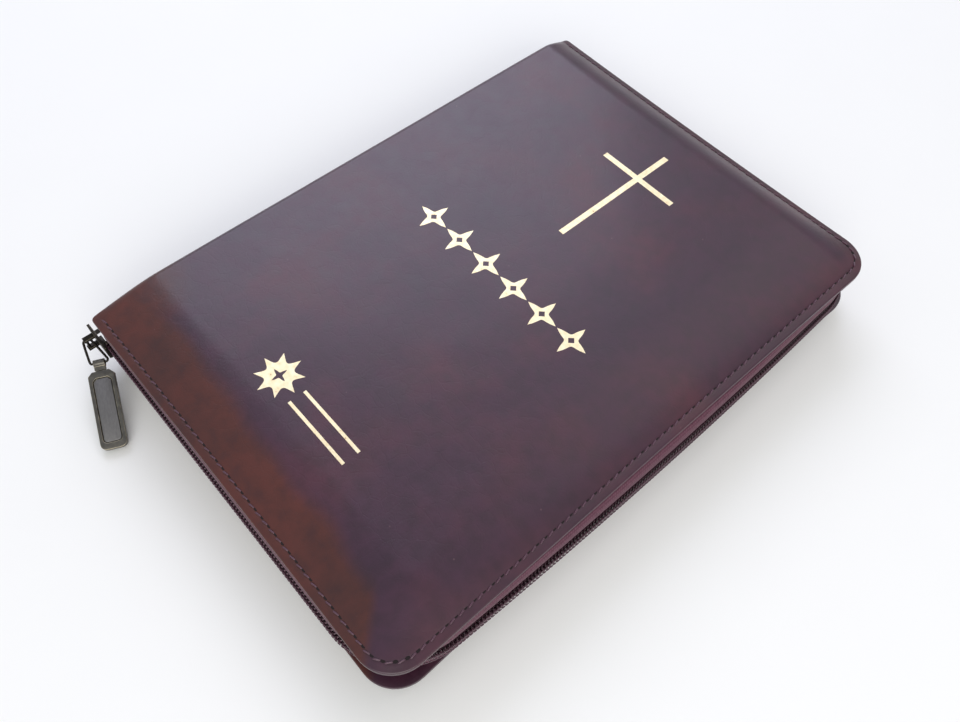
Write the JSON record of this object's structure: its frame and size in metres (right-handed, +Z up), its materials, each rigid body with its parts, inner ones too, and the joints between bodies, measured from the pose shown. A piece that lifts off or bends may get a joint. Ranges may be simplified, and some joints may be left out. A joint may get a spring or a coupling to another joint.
{
  "type": "zip-closed bible",
  "caption": "Zip-closed bible with a padded leather cover that opens at the spine, a sewn page block, and a coil zip whose slider carries a ring and tab.",
  "frame": {"origin": "centre of the back cover's flat underside, the face that the closed book lies on", "axes": "+X from the spine to the fore-edge, +Y from the tail to the head, +Z up through the closed book"},
  "size_m": [0.1728, 0.2612, 0.0335],
  "materials": {
    "leather": "semi-gloss burgundy bonded leather",
    "padding": "thin foam sheet",
    "board": "grey binder's board",
    "endpaper": "matt cream endpaper",
    "pages": "thin matt print paper",
    "spine_cloth": "open cotton gauze",
    "headband": "woven silk headband",
    "ribbon": "satin ribbon",
    "zip_coil": "dyed nylon coil",
    "zip_tape": "woven polyester tape",
    "metal": "antique gunmetal plating on zinc alloy",
    "metal_panel": "matt gunmetal inlay",
    "foil": "pale gold hot-stamping foil"
  },
  "bodies": {
    "back_case": {"back_cover_leather": "leather", "back_padding": "padding", "back_board": "board", "back_lining": "endpaper", "back_flyleaf": "endpaper", "lower_signatures_1": "pages", "lower_signatures_2": "pages", "lower_signatures_3": "pages", "lower_signatures_4": "pages", "lower_spine_cloth": "spine_cloth", "lower_headband_head": "headband", "lower_headband_tail": "headband", "ribbon_marker": "ribbon", "lower_zip_tape": "zip_tape", "lower_zip_coil": "zip_coil", "lower_zip_stop_head": "metal", "lower_zip_stop_tail": "metal"},
    "spine": {"spine_leather": "leather", "spine_stiffener": "board"},
    "front_cover": {"front_cover_leather": "leather", "front_padding": "padding", "front_board": "board", "front_lining": "endpaper", "upper_zip_tape": "zip_tape", "upper_zip_coil": "zip_coil", "upper_zip_stop_head": "metal", "upper_zip_stop_tail": "metal", "foil_cross": "foil", "foil_ornament_1": "foil", "foil_ornament_2": "foil", "foil_ornament_3": "foil", "foil_ornament_4": "foil", "foil_ornament_5": "foil", "foil_ornament_6": "foil", "foil_rosette": "foil", "foil_rule_1": "foil", "foil_rule_2": "foil"},
    "page_half": {"upper_signatures_1": "pages", "upper_signatures_2": "pages", "upper_signatures_3": "pages", "upper_signatures_4": "pages", "front_flyleaf": "endpaper", "upper_spine_cloth": "spine_cloth", "upper_headband_head": "headband", "upper_headband_tail": "headband"},
    "slider": {"slider_body": "metal"},
    "ring": {"pull_ring": "metal"},
    "tab": {"pull_link": "metal", "pull_tab": "metal", "pull_tab_panel": "metal_panel"}
  },
  "joints": [
    {"name": "spine_hinge", "type": "hinge", "parent": "back_case", "child": "spine", "pos_m": [-0.084, 0, 0.0035], "axis": [0, -1, 0], "range_deg": [0, 90]},
    {"name": "cover_hinge", "type": "hinge", "parent": "spine", "child": "front_cover", "pos_m": [-0.084, 0, 0.0295], "axis": [0, -1, 0], "range_deg": [0, 90]},
    {"name": "page_turn", "type": "hinge", "parent": "back_case", "child": "page_half", "pos_m": [-0.079, 0, 0.0165], "axis": [0, -1, 0], "range_deg": [0, 180]},
    {"name": "slider_travel", "type": "slide", "parent": "back_case", "child": "slider", "axis": [1, 0, 0], "range_m": [0, 0.125]},
    {"name": "ring_swing", "type": "hinge", "parent": "slider", "child": "ring", "pos_m": [-0.084, -0.1242, 0.0166], "axis": [0, 0, 1], "range_deg": [-130, 0]},
    {"name": "tab_swing", "type": "hinge", "parent": "ring", "child": "tab", "pos_m": [-0.07757, -0.12504, 0.0119], "axis": [-0.4152, -0.9097, 0], "range_deg": [0, 75]}
  ],
  "couplings": [
    {"joint": "cover_hinge", "follows": "spine_hinge", "ratio": 1},
    {"joint": "page_turn", "follows": "spine_hinge", "ratio": 2}
  ]
}
